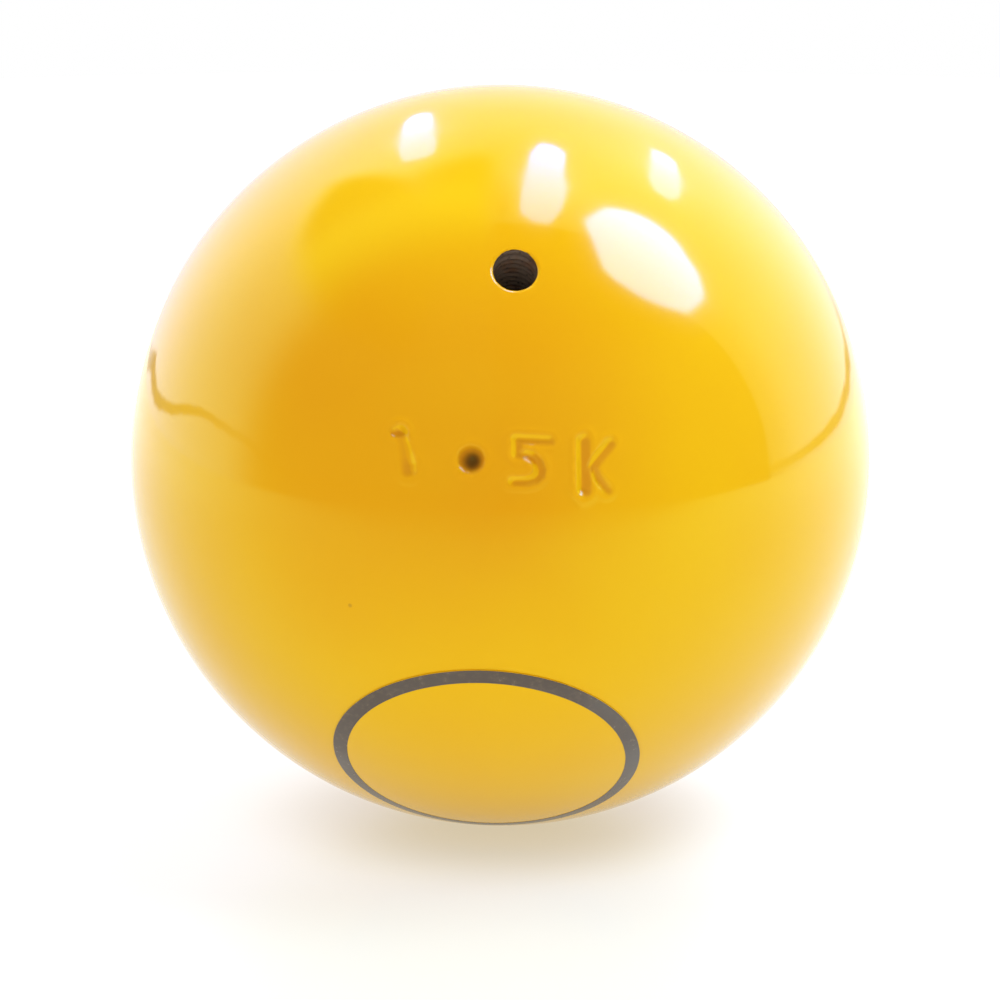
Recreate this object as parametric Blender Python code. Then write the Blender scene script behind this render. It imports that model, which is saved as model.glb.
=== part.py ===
"""Throwing shot of 1.5 kg: an enamelled iron ball with a blind tapped bore for its trim weight.

The ball is turned about the axis of its bore. So the casting, the enamel that rolls over the
bore's mouth, the lead slug and the set screw are profiles spun round one axis, which an empty
then tilts to the attitude in which the ball lies. A second empty carries the round film label.
"""

import math

import bmesh
import bpy

MM = 0.001

# Ball and enamel
BALL_DIAMETER = 74.0 * MM
COAT_THICKNESS = 0.30 * MM
COAT_GAP = 0.05 * MM

# How the ball lies: elevations above the horizon, turns to the right of the front
BORE_ELEVATION = math.radians(41.2)
BORE_TURN = math.radians(2.8)
LABEL_ELEVATION = math.radians(-44.0)
LABEL_TURN = math.radians(-3.3)

# Trim bore, with the tapped wall taken half way between thread crest and root
BORE_DIAMETER = 4.6 * MM
BORE_DEPTH = 26.0 * MM
DRILL_POINT_ANGLE = math.radians(118.0)
COUNTERSINK_WIDTH = 0.15 * MM
COUNTERSINK_SLOPE = math.radians(45.0)
MOUTH_ROUNDING = 0.12 * MM
LIP_OVERHANG = 0.20 * MM

# Lead slug and the set screw that locks it
LEAD_LENGTH = 10.0 * MM
LEAD_CLEARANCE = 0.05 * MM
LEAD_CHAMFER = 0.30 * MM
SCREW_LENGTH = 6.0 * MM
SCREW_CLEARANCE = 0.05 * MM
SCREW_SEAT_GAP = 0.05 * MM
SCREW_CHAMFER = 0.40 * MM
SOCKET_ACROSS_FLATS = 2.5 * MM
SOCKET_DEPTH = 2.6 * MM
SOCKET_SIDES = 6

# Round film label
LABEL_DIAMETER = 30.5 * MM
LABEL_BORDER = 1.5 * MM
LABEL_THICKNESS = 0.15 * MM
LABEL_GAP = 0.05 * MM

# Facets
BALL_SEGMENTS = 56
BALL_ROWS = 28
ROUNDING_ROWS = 4
SMALL_SEGMENTS = 32
LABEL_FACET = math.radians(3.0)
SHARP_ANGLE = math.radians(30.0)
MERGE_DISTANCE = 0.0001 * MM

# Sizes worked out from those above
COAT_RADIUS = BALL_DIAMETER / 2
IRON_RADIUS = COAT_RADIUS - COAT_THICKNESS - COAT_GAP
BORE_RADIUS = BORE_DIAMETER / 2
LIP_RADIUS = BORE_RADIUS - LIP_OVERHANG
BALL_CENTRE = (0.0, 0.0)


def clear_scene():
    for thing in list(bpy.data.objects):
        bpy.data.objects.remove(thing, do_unlink=True)


def material(name, colour, roughness, metallic):
    """A Principled material in one colour."""
    made = bpy.data.materials.new(name)
    made.use_nodes = True
    shader = made.node_tree.nodes["Principled BSDF"]
    shader.inputs["Base Color"].default_value = (*colour, 1.0)
    shader.inputs["Roughness"].default_value = roughness
    shader.inputs["Metallic"].default_value = metallic
    made.diffuse_color = (*colour, 1.0)
    return made


def tilted_empty(name, elevation, turn):
    """An empty at the ball's centre, its +Z pointing out at this elevation and turn."""
    empty = bpy.data.objects.new(name, None)
    empty.empty_display_size = COAT_RADIUS
    empty.rotation_euler = (math.pi / 2 - elevation, 0.0, turn)
    bpy.context.collection.objects.link(empty)
    return empty


def place(name, mesh, parent, materials):
    """A smooth-shaded object, riding on its empty."""
    for each in materials:
        mesh.materials.append(each)
    mesh.shade_smooth()
    mesh.set_sharp_from_angle(angle=SHARP_ANGLE)
    made = bpy.data.objects.new(name, mesh)
    made.parent = parent
    bpy.context.collection.objects.link(made)
    return made


def turned_mesh(name, profile, segments):
    """Spins a profile of (radius, height) points, with both ends on the axis, into a solid."""
    shape = bmesh.new()
    points = [shape.verts.new((radius, 0.0, height)) for radius, height in profile]
    edges = [shape.edges.new(pair) for pair in zip(points, points[1:])]
    bmesh.ops.spin(
        shape,
        geom=points + edges,
        cent=(0.0, 0.0, 0.0),
        axis=(0.0, 0.0, 1.0),
        angle=2 * math.pi,
        steps=segments,
        use_merge=True,
    )
    bmesh.ops.remove_doubles(shape, verts=shape.verts, dist=MERGE_DISTANCE)
    bmesh.ops.recalc_face_normals(shape, faces=shape.faces)
    mesh = bpy.data.meshes.new(name)
    shape.to_mesh(mesh)
    shape.free()
    return mesh


def on_circle(centre, radius, angle):
    """A point on a circle, at an angle measured from +Z towards the radius."""
    return centre[0] + radius * math.sin(angle), centre[1] + radius * math.cos(angle)


def arc(centre, radius, start, end, steps):
    """Evenly spaced points on a circle, from one angle to another."""
    turn = (end - start) / steps
    return [on_circle(centre, radius, start + step * turn) for step in range(steps + 1)]


def mouth_edge():
    """Where the countersink of the iron ends on the bore's wall."""
    rim_radius = BORE_RADIUS + COUNTERSINK_WIDTH
    rim_height = math.sqrt(IRON_RADIUS**2 - rim_radius**2)
    drop = COUNTERSINK_WIDTH * math.tan(COUNTERSINK_SLOPE)
    return BORE_RADIUS, rim_height - drop


def rounding_centre():
    """The centre of the arc that touches both the ball and the countersink of the iron."""
    edge_radius, edge_height = mouth_edge()
    start_radius = edge_radius + MOUTH_ROUNDING * math.sin(COUNTERSINK_SLOPE)
    start_height = edge_height - MOUTH_ROUNDING * math.cos(COUNTERSINK_SLOPE)
    along_radius = math.cos(COUNTERSINK_SLOPE)
    along_height = math.sin(COUNTERSINK_SLOPE)
    half = start_radius * along_radius + start_height * along_height
    spare = start_radius**2 + start_height**2 - (IRON_RADIUS - MOUTH_ROUNDING) ** 2
    travel = -half + math.sqrt(half**2 - spare)
    return start_radius + travel * along_radius, start_height + travel * along_height


def skin_profile(offset, end_radius):
    """The iron's outside, moved out by offset: from the far pole over the ball, round the
    mouth and down the countersink to end_radius."""
    centre = rounding_centre()
    touch = math.atan2(centre[0], centre[1])
    ball = arc(BALL_CENTRE, IRON_RADIUS + offset, math.pi, touch, BALL_ROWS)
    ball[0] = (0.0, -IRON_RADIUS - offset)
    rounding = arc(centre, MOUTH_ROUNDING + offset, touch, -COUNTERSINK_SLOPE, ROUNDING_ROWS)
    last_radius, last_height = rounding[-1]
    drop = (last_radius - end_radius) * math.tan(COUNTERSINK_SLOPE)
    return ball + rounding[1:] + [(end_radius, last_height - drop)]


def drill_point(radius, height):
    """The tip of a drill of this radius, below the height where its full width ends."""
    return 0.0, height - radius / math.tan(DRILL_POINT_ANGLE / 2)


def bore_floor():
    """The height at which the bore's full width ends."""
    return IRON_RADIUS - BORE_DEPTH


def cast_ball(parent, iron):
    floor = bore_floor()
    profile = skin_profile(0.0, BORE_RADIUS)
    profile += [(BORE_RADIUS, floor), drill_point(BORE_RADIUS, floor)]
    return place("cast_ball", turned_mesh("cast_ball", profile, BALL_SEGMENTS), parent, [iron])


def enamel_coat(parent, enamel):
    outside = skin_profile(COAT_GAP + COAT_THICKNESS, LIP_RADIUS)
    inside = skin_profile(COAT_GAP, LIP_RADIUS)
    profile = outside + inside[::-1]
    return place("enamel_coat", turned_mesh("enamel_coat", profile, BALL_SEGMENTS), parent, [enamel])


def trim_lead(parent, lead):
    """A slug that fills the drill point, with a small chamfer at its upper edge."""
    radius = BORE_RADIUS - LEAD_CLEARANCE
    bottom = bore_floor() + LEAD_CLEARANCE
    top = bottom + LEAD_LENGTH
    profile = [
        drill_point(radius, bottom),
        (radius, bottom),
        (radius, top - LEAD_CHAMFER),
        (radius - LEAD_CHAMFER, top),
        (0.0, top),
    ]
    return place("trim_lead", turned_mesh("trim_lead", profile, SMALL_SEGMENTS), parent, [lead])


def socket_cutter(parent, top):
    """A six-sided key, standing in the screw from its top face down to the socket's depth."""
    corner_radius = SOCKET_ACROSS_FLATS / 2 / math.cos(math.pi / SOCKET_SIDES)
    reach = SOCKET_DEPTH + SCREW_LENGTH
    shape = bmesh.new()
    bmesh.ops.create_cone(
        shape,
        cap_ends=True,
        segments=SOCKET_SIDES,
        radius1=corner_radius,
        radius2=corner_radius,
        depth=reach,
    )
    mesh = bpy.data.meshes.new("socket_cutter")
    shape.to_mesh(mesh)
    shape.free()
    cutter = bpy.data.objects.new("socket_cutter", mesh)
    cutter.parent = parent
    cutter.location.z = top - SOCKET_DEPTH + reach / 2
    cutter.display_type = "WIRE"
    cutter.hide_render = True
    bpy.context.collection.objects.link(cutter)
    return cutter


def set_screw(parent, steel):
    """A headless screw with a flat point, chamfered at both ends, and a hexagon socket."""
    radius = BORE_RADIUS - SCREW_CLEARANCE
    bottom = bore_floor() + LEAD_CLEARANCE + LEAD_LENGTH + SCREW_SEAT_GAP
    top = bottom + SCREW_LENGTH
    profile = [
        (0.0, bottom),
        (radius - SCREW_CHAMFER, bottom),
        (radius, bottom + SCREW_CHAMFER),
        (radius, top - SCREW_CHAMFER),
        (radius - SCREW_CHAMFER, top),
        (0.0, top),
    ]
    screw = place("set_screw", turned_mesh("set_screw", profile, SMALL_SEGMENTS), parent, [steel])
    cut = screw.modifiers.new("socket", "BOOLEAN")
    cut.operation = "DIFFERENCE"
    cut.solver = "EXACT"
    cut.object = socket_cutter(parent, top)
    return screw


def label_film(parent, film, ink):
    """A round film that follows the ball, with a printed border along its edge."""
    inner_radius = COAT_RADIUS + LABEL_GAP
    outer_radius = inner_radius + LABEL_THICKNESS
    rim = LABEL_DIAMETER / 2 / COAT_RADIUS
    border = LABEL_BORDER / COAT_RADIUS
    rows = math.ceil((rim - border) / LABEL_FACET)
    segments = math.ceil(2 * math.pi * math.sin(rim) / LABEL_FACET)
    skins = []
    for radius in (outer_radius, inner_radius):
        inside_border = arc(BALL_CENTRE, radius, 0.0, rim - border, rows)
        skins.append(inside_border + [on_circle(BALL_CENTRE, radius, rim)])
    outside, inside = skins
    mesh = turned_mesh("label_film", outside + inside[::-1], segments)
    made = place("label_film", mesh, parent, [film, ink])
    for face in mesh.polygons:
        polar = face.center.angle((0.0, 0.0, 1.0))
        face.material_index = int(polar > rim - border)
    return made


def main():
    clear_scene()
    iron = material("grey_iron", (0.10, 0.085, 0.08), 0.55, 0.8)
    enamel = material("yellow_enamel", (0.85, 0.46, 0.015), 0.12, 0.0)
    lead = material("lead", (0.16, 0.16, 0.17), 0.5, 0.9)
    steel = material("black_steel", (0.05, 0.05, 0.055), 0.4, 0.9)
    film = material("clear_film", (0.84, 0.45, 0.015), 0.2, 0.0)
    ink = material("border_ink", (0.09, 0.07, 0.065), 0.3, 0.0)
    bore_axis = tilted_empty("bore_axis", BORE_ELEVATION, BORE_TURN)
    label_axis = tilted_empty("label_axis", LABEL_ELEVATION, LABEL_TURN)
    cast_ball(bore_axis, iron)
    enamel_coat(bore_axis, enamel)
    trim_lead(bore_axis, lead)
    set_screw(bore_axis, steel)
    label_film(label_axis, film, ink)


main()
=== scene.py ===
"""Looks of a yellow enamelled throwing shot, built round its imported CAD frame.

The enamel, the iron and its tapped bore, the set screw and the label are fine meshes made
from rings of points round one axis each. The lead slug keeps its CAD solid. The file is laid
out as an add-on, and runs as a script.
"""

from math import atan, atan2, cos, pi, radians, sin, sqrt, tan

import bpy
import numpy as np
from bpy.props import FloatProperty, FloatVectorProperty, PointerProperty
from mathutils import Euler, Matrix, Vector


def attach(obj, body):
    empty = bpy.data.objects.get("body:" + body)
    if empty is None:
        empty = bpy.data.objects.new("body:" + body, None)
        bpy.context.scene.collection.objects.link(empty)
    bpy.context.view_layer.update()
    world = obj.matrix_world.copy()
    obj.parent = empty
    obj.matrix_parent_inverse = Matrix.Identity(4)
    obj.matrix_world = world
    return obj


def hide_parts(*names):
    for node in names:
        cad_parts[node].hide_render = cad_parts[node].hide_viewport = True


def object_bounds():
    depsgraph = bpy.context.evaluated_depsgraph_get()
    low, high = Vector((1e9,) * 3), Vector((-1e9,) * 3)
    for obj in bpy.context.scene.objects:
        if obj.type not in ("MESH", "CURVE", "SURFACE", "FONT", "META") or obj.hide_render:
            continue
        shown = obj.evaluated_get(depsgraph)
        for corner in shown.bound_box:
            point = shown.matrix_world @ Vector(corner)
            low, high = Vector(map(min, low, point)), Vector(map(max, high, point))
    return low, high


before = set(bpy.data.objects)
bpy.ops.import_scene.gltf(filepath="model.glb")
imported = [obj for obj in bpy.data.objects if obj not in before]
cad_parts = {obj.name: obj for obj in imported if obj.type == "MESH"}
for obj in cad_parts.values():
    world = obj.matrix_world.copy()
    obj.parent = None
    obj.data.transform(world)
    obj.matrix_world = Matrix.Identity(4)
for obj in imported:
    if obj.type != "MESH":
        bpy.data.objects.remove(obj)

bl_info = {
    "name": "Throwing shot",
    "version": (1, 0, 0),
    "blender": (4, 5, 0),
    "location": "3D View > Sidebar > Shot",
    "description": "Builds the enamel, iron, trim bore and label of a throwing shot, and a studio",
    "category": "Object",
}

MM = 0.001
FULL_TURN = 2.0 * pi
CAD_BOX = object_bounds()
BODY = "root"
BALL_DIAMETER = max(high - low for low, high in zip(*CAD_BOX))


# Settings


def amount(name, description, default, **kind):
    """A number that a user can set in the panel."""
    return FloatProperty(name=name, description=description, default=default, precision=4, **kind)


def length(name, description, millimetres):
    """A length that a user can set in the panel."""
    return amount(name, description, millimetres * MM, unit="LENGTH")


def angle(name, description, degrees):
    """An angle that a user can set in the panel."""
    return amount(name, description, radians(degrees), unit="ROTATION", subtype="ANGLE")


def light(name, description, default, **kind):
    """The brightness of a light in red, green and blue, that a user can set in the panel."""
    return FloatVectorProperty(name=name, description=description, default=default, min=0.0, **kind)


def colour(name, description, default):
    """A colour that a user can set in the panel."""
    return light(name, description, default, max=1.0, subtype="COLOR")


class ShotSizes(bpy.types.PropertyGroup):
    """Sizes of the shot's pieces, and the attitude in which it lies."""

    ball_diameter: amount("Ball diameter", "Across the enamel", BALL_DIAMETER, unit="LENGTH")
    coat_thickness: length("Enamel thickness", "From the iron's gap to the outside", 0.30)
    coat_gap: length("Enamel gap", "Between the iron and its enamel", 0.05)
    unevenness: length("Unevenness", "Height of the slow waves in the enamel", 0.012)
    bore_elevation: angle("Bore elevation", "Of the bore's axis, above the horizon", 41.2)
    bore_turn: angle("Bore turn", "Of the bore's axis, to the right of the front", 2.8)
    bore_radius: length("Bore radius", "Half way between thread crest and root", 2.30)
    bore_depth: length("Bore depth", "Down to where the drill's full width ends", 26.0)
    countersink: length("Countersink", "Width of the iron's countersink", 0.15)
    mouth_rounding: length("Mouth rounding", "Of the iron's edge at the mouth", 0.12)
    lip_radius: length("Lip radius", "Where the enamel ends inside the mouth", 2.10)
    thread_pitch: length("Thread pitch", "Of the tapped bore and its screw", 0.80)
    thread_crest: length("Thread crest", "Inner radius of the tapped wall", 2.07)
    thread_root: length("Thread root", "Outer radius of the tapped wall", 2.50)
    mark_elevation: angle("Mark elevation", "Of the weight mark's middle", 12.9)
    mark_turn: angle("Mark turn", "Of the weight mark's middle", 0.3)
    screw_length: length("Screw length", "Of the set screw", 6.0)
    screw_seat: length("Screw seat", "Height of the screw's point above the bore's floor", 10.10)
    thread_clearance: length("Thread clearance", "Between the screw and the wall", 0.05)
    socket_flats: length("Socket", "Across the flats of the screw's hexagon", 2.50)
    socket_depth: length("Socket depth", "Of the screw's hexagon", 2.60)
    label_elevation: angle("Label elevation", "Of the label's middle", -44.0)
    label_turn: angle("Label turn", "Of the label's middle", -3.3)
    label_diameter: length("Label diameter", "Across the film, along the ball", 30.5)
    border_width: length("Border width", "Of the printed ring along the film's edge", 1.5)


class ShotColours(bpy.types.PropertyGroup):
    """Colours of the shot's finishes, and of the table."""

    enamel: colour("Enamel", "Signal yellow of the coat", (0.825, 0.460, 0.0061))
    # Deeper yellow of the coat's slow random changes, and of the painted shade on the front
    deep_tone_and_shade: colour("Enamel, thick", "Where the coat has run thicker", (0.775, 0.355, 0.0075))
    # Painted light on the strokes' lit sides
    lit_stroke_sides: colour("Enamel, thin", "Where it has left the mark's sides", (0.88, 0.52, 0.0061))
    # Painted shade in the struck strokes, deeper than the yellow
    pooled: colour("Enamel, pooled", "Where it has gathered in the mark", (0.69, 0.295, 0.014))
    # Painted shade at the bottom of the deep struck point
    pit_shade: colour("Grime", "Dirt at the bottom of the deepest strike", (0.15, 0.075, 0.016))
    iron: colour("Iron", "Bare, oiled grey iron in the bore", (0.17, 0.125, 0.095))
    lead: colour("Lead", "Cast lead of the trim slug", (0.20, 0.20, 0.21))
    steel: colour("Steel", "Blackened steel of the set screw", (0.035, 0.035, 0.038))
    ink: colour("Ink", "Dark ink of the label's ring", (0.088, 0.065, 0.048))
    floor: colour("Floor", "Colour of the table", (0.21, 0.22, 0.235))


class ShotStudio(bpy.types.PropertyGroup):
    """Levels of the studio's light, and where the camera stands."""

    backdrop: amount("Backdrop", "Brightness of the white walls behind the ball", 2.35)
    tall: amount("Backdrop, high", "How much brighter the walls are high up", 1.12)
    room: colour("Room", "Tint of the light from the walls", (0.72, 0.775, 1.0))
    room_far: colour("Room, far", "Tint of the light from straight behind", (0.92, 0.80, 0.95))
    room_above: colour("Room, above", "Tint of the light from overhead", (0.81, 0.80, 0.15))
    front_left: amount("Front, left", "Brightness of the room on the front's left", 0.34)
    front_right: amount("Front, right", "Brightness of the room on the front's right", 0.22)
    key: light("Key panel", "Of the large panel on the right", (4.3, 6.8, 6.2))
    windows: light("Windows", "Of the three windows above", (5.6, 6.8, 5.0))
    gleam_key: light("Key gleam", "Of the key panel in the gloss", (3.0, 6.0, 49.0))
    gleam_middle: light("Middle gleam", "Of the window above the ball", (2.0, 3.4, 29.0))
    gleam_side: light("Side gleams", "Of the two windows beside it", (1.5, 2.0, 9.5))
    fill: light("Fill", "Of the soft panel by the camera", (2.0, 1.8, 1.5))
    # The table's glow, lowered under and near the ball as a painted shadow
    floor_shadowed_glow: amount("Floor glow, under", "Light through the table under the ball", 0.51)
    floor_glow: amount("Floor glow", "Light through the table, near the ball", 0.69)
    floor_far: amount("Floor glow, far", "Light through the table, away from the ball", 1.07)
    seam: amount("Seam", "Darkness of the seam behind the table's edge", 0.80)
    camera_distance: length("Camera distance", "From the ball's middle", 600.0)
    camera_elevation: angle("Camera elevation", "Above the horizon", 13.0)
    camera_tilt: angle("Camera tilt", "Below the ball's middle", 0.4293)
    lens: amount("Lens", "Focal length", 216.2, unit="CAMERA")


# Axes and rings of points


def direction(elevation, turn):
    """The unit vector at an elevation above the horizon and a turn to the right of the front."""
    flat = cos(elevation)
    return Vector((flat * sin(turn), -flat * cos(turn), sin(elevation)))


def axis_rotation(elevation, turn):
    """The rotation that takes +Z to this elevation and turn."""
    return Euler((pi / 2 - elevation, 0.0, turn))


def bore_axis(sizes):
    """The rotation that takes +Z to the bore's axis."""
    return axis_rotation(sizes.bore_elevation, sizes.bore_turn)


def columns_round(count):
    """The angles of this many columns, evenly spaced round an axis."""
    return np.arange(count) * FULL_TURN / count


def graded(low, high, fine_low, fine_high, fine, coarse, change, whole=False):
    """Values from low to high whose spacing grows smoothly from fine to coarse. Where whole,
    they go round an axis, and come back to the fine part at their end."""
    samples = np.linspace(low, high, 20001)
    away = np.maximum(np.maximum(fine_low - samples, samples - fine_high), 0.0)
    if whole:
        away = np.minimum(away, np.maximum(0.0, fine_low + (high - low) - samples))
    blend = np.clip(away / change, 0.0, 1.0)
    spacing = fine + (coarse - fine) * blend * blend * (3.0 - 2.0 * blend)
    counted = np.concatenate(([0.0], np.cumsum(np.diff(samples) / spacing[1:])))
    steps = max(2, round(counted[-1]))
    return np.interp(np.linspace(0.0, counted[-1], steps + 1), counted, samples)


def ring_mesh(name, rings, poles=None):
    """A closed mesh from rings of equally many points. Two pole points close its ends, and
    without them its last ring joins its first."""
    rows, columns, _ = rings.shape
    points = rings.reshape(-1, 3)
    here = np.arange(columns)
    after = np.roll(here, -1)
    row = np.arange(rows)[:, None] * columns
    below = np.roll(row, -1, axis=0)
    quads = np.stack([row + here, row + after, below + after, below + here], -1)
    if poles is None:
        faces = quads.reshape(-1, 4).tolist()
    else:
        points = np.concatenate([points, np.array(poles, float)])
        faces = quads[:-1].reshape(-1, 4).tolist()
        first, last = rows * columns, (rows - 1) * columns
        for a, b in zip(here.tolist(), after.tolist()):
            faces.append((first, b, a))
            faces.append((first + 1, last + a, last + b))
    mesh = bpy.data.meshes.new(name)
    mesh.from_pydata(points.tolist(), [], faces)
    mesh.validate()
    return mesh


def spun(radius, height, turns):
    """Rings from radius and height, each one number or one number for each column."""
    radius = np.broadcast_to(radius, (len(radius), len(turns)))
    height = np.broadcast_to(height, (len(height), len(turns)))
    return np.stack([radius * np.cos(turns), radius * np.sin(turns), height], -1)


def finished(name, mesh, material, rotation, sharp=60.0):
    """A smooth-shaded object with its finish, turned to its axis and riding on the shot."""
    mesh.transform(rotation.to_matrix().to_4x4())
    mesh.materials.append(material)
    mesh.shade_smooth()
    mesh.set_sharp_from_angle(angle=radians(sharp))
    made = bpy.data.objects.new(name, mesh)
    bpy.context.scene.collection.objects.link(made)
    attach(made, BODY)
    return made


# The weight mark

# Its strokes, struck by hand one character at a time: for each stroke its points as (right,
# up, depth, half width) in millimetres on the plane that touches the ball at the middle of
# the mark, and how much wider its right side is than its left.
MARK_STROKES = (
    # Figure one, struck lightly and leaning, deepest at its flag and its foot
    (((-10.05, 2.25, 0.36, 0.66), (-9.65, 2.30, 0.56, 0.78), (-9.45, 2.20, 0.36, 0.70)), 0.0),
    (
        ((-9.45, 1.80, 0.16, 0.76), (-9.25, 1.10, 0.17, 0.84), (-9.05, 0.20, 0.20, 0.90))
        + ((-8.85, -0.80, 0.33, 0.98), (-8.80, -1.30, 0.31, 0.92)),
        0.0,
    ),
    # Figure five
    (((4.30, 1.42, 0.26, 0.66), (1.20, 1.56, 0.30, 0.70)), 0.0),
    (((1.20, 1.56, 0.30, 0.70), (1.22, 0.22, 0.28, 0.72)), 0.1),
    (
        ((1.30, 0.16, 0.24, 0.64), (2.02, 0.14, 0.30, 0.64), (2.67, -0.05, 0.44, 0.64))
        + ((3.19, -0.52, 0.46, 0.66), (3.39, -1.13, 0.44, 0.68), (3.33, -1.73, 0.40, 0.68))
        + ((2.86, -2.20, 0.36, 0.66), (2.11, -2.38, 0.32, 0.64), (0.89, -2.38, 0.28, 0.62)),
        0.0,
    ),
    # Letter for kilograms
    (((7.38, 1.45, 0.40, 0.82), (7.42, -1.00, 0.45, 0.82), (7.46, -3.10, 0.50, 0.84)), 0.15),
    (((9.95, 1.20, 0.32, 0.68), (8.10, -1.05, 0.36, 0.68)), 0.1),
    (((8.35, -0.90, 0.32, 0.56), (8.78, -1.95, 0.36, 0.60), (9.72, -3.20, 0.26, 0.66)), 0.0),
)
# Decimal point: right, up, radius, depth
MARK_POINT = (-3.02, -0.32, 1.42, 1.60)
# How far from its middle the mark can reach: right, up
MARK_REACH = (13.0, 6.0)
# How far the painted shade is shifted off the hollows, towards their shaded sides, in the strokes
# and in the point: right, up
STROKE_SHADE_SHIFT = (0.30, -0.22)
POINT_SHADE_SHIFT = (0.06, -0.24)
# The figure one leans, and its painted shade is shifted this share of the way, to its other side
LEANING_SHADE_SHIFT = -0.6
# Height of the burrs: beside a stroke as a share of its depth, and round the point
STROKE_BURR = 0.21
POINT_BURR = 0.05
# How strongly the sides that the shifted shade leaves get paler painted light
SIDE_LIGHTING = 2.2
# Name of the mesh attribute that carries the mark's painted shade and painted light
SHADING_ATTRIBUTE = "pooled"


def ridge(away, middle, width):
    """The height of a rounded burr of height one, at distances from a stroke."""
    return np.exp(-(((away - middle) / width) ** 2))


def stroke_depth(right, up, points, lean):
    """Depth of one struck stroke, and the low burr along it, at places on the mark's plane."""
    depth = np.zeros_like(right)
    burr = np.zeros_like(right)
    for (x0, y0, d0, w0), (x1, y1, d1, w1) in zip(points, points[1:]):
        along = np.array([x1 - x0, y1 - y0])
        span = np.hypot(*along)
        along /= span
        travel = (right - x0) * along[0] + (up - y0) * along[1]
        share = np.clip(travel / span, 0.0, 1.0)
        away_x = right - x0 - share * span * along[0]
        away_y = up - y0 - share * span * along[1]
        away = np.hypot(away_x, away_y)
        side = np.tanh((away_x - 0.2 * away_y) / 0.25)
        width = (w0 + share * (w1 - w0)) * (1.0 + lean * side)
        deep = d0 + share * (d1 - d0)
        inside = np.clip(away / width, 0.0, 1.0)
        depth = np.maximum(depth, deep * np.cos(0.5 * pi * inside) ** 2)
        burr = np.maximum(burr, STROKE_BURR * deep * ridge(away, 1.30 * width, 0.38 * width))
    return depth, burr


def mark_depth(right, up, sag=(0.0, 0.0), point_shade_shift=(0.0, 0.0)):
    """How far the struck weight mark sinks the surface, in millimetres. With the shade shifts, the
    same depth gives how much painted shade falls at each place.
    """
    depth = np.zeros_like(right)
    burr = np.zeros_like(right)
    for points, lean in MARK_STROKES:
        way = LEANING_SHADE_SHIFT if points[0][0] < MARK_POINT[0] else 1.0
        stroke, raised = stroke_depth(right - way * sag[0], up - sag[1], points, lean)
        depth = np.maximum(depth, stroke)
        burr = np.maximum(burr, raised)
    x, y, radius, deep = MARK_POINT
    away = np.hypot(right - point_shade_shift[0] - x, up - point_shade_shift[1] - y)
    inside = np.clip(away / radius, 0.0, 1.0)
    depth = np.maximum(depth, deep * (1.0 - inside**2) ** 1.6)
    burr = np.maximum(burr, POINT_BURR * ridge(away, 1.22 * radius, 0.22 * radius))
    return depth - burr * ridge(depth, 0.0, 0.05)


def mark_axes(sizes):
    """Right, up and out at the weight mark, in the frame of the bore's axis."""
    to_bore = bore_axis(sizes).to_matrix().transposed()
    out = direction(sizes.mark_elevation, sizes.mark_turn)
    right = Vector((cos(sizes.mark_turn), sin(sizes.mark_turn), 0.0))
    return [np.array(to_bore @ v) for v in (right, out.cross(right), out)]


def slow_waves(normals):
    """Waves of the enamel, about one high, at directions from the ball's middle."""
    waves = np.zeros(len(normals))
    maker = np.random.default_rng(7)
    for _ in range(14):
        way = maker.normal(size=3)
        way /= np.linalg.norm(way)
        count = maker.uniform(5.0, 14.0)
        waves += np.sin(count * normals @ way + maker.uniform(0.0, FULL_TURN)) / count
    return waves


def sunk(sizes, rings, ring_normals):
    """Rings of points with the weight mark struck in them and the slow waves added, and how much
    painted shade the mark puts at each point, in millimetres of depth: negative where its lit sides
    get painted light instead."""
    right_way, up_way, out_way = mark_axes(sizes)
    normals = ring_normals.reshape(-1, 3)
    points = rings.reshape(-1, 3)
    radius = sizes.ball_diameter / 2
    across = normals @ right_way * radius / MM
    up = normals @ up_way * radius / MM
    near = (np.abs(across) < MARK_REACH[0]) & (np.abs(up) < MARK_REACH[1])
    near &= normals @ out_way > 0.0
    depth = np.zeros(len(normals))
    depth[near] = mark_depth(across[near], up[near]) * MM
    painted_shading = np.zeros(len(normals))
    # The mark's depth, shifted towards the shaded sides, gives its painted shade
    painted_shading[near] = mark_depth(across[near], up[near], STROKE_SHADE_SHIFT, POINT_SHADE_SHIFT)
    rise = sizes.unevenness * slow_waves(normals)
    placed = (points + (rise - depth)[:, None] * normals).reshape(rings.shape)
    painted_shading = np.maximum(painted_shading, 0.0)
    strokes = np.hypot(across - MARK_POINT[0], up - MARK_POINT[1]) > MARK_POINT[2]
    # Where the shifted shade leaves a stroke's side, that side gets paler painted light
    painted_shading -= SIDE_LIGHTING * strokes * np.maximum(depth / MM - painted_shading, 0.0)
    return placed, painted_shading.reshape(rings.shape[:2])


# The iron's outside and the enamel that follows it

# Spacing of the rows over the mark, on the skins that show and on those that don't
ROWS_SEEN = radians(0.2)
ROWS_HIDDEN = radians(0.8)
# Between which angles from the bore's axis the mark lies, and where round that axis
MARK_ROWS = (radians(24.0), radians(38.0))
MARK_BEARING = radians(-95.1)
MARK_HALF_TURN = radians(37.0)
# Rows from the mouth's edge inwards, and those of them that make the lip
MOUTH_ROWS = 16
LIP_ROWS = 4


def skin_turns():
    """Angles of the columns round the bore's axis, closest together over the weight mark."""
    low, high = MARK_BEARING - MARK_HALF_TURN, MARK_BEARING + MARK_HALF_TURN
    fine, coarse, change = radians(0.42), radians(2.6), radians(20.0)
    turns = graded(low, low + FULL_TURN, low, high, fine, coarse, change, whole=True)
    return turns[: (len(turns) - 1) // 2 * 2]


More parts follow.
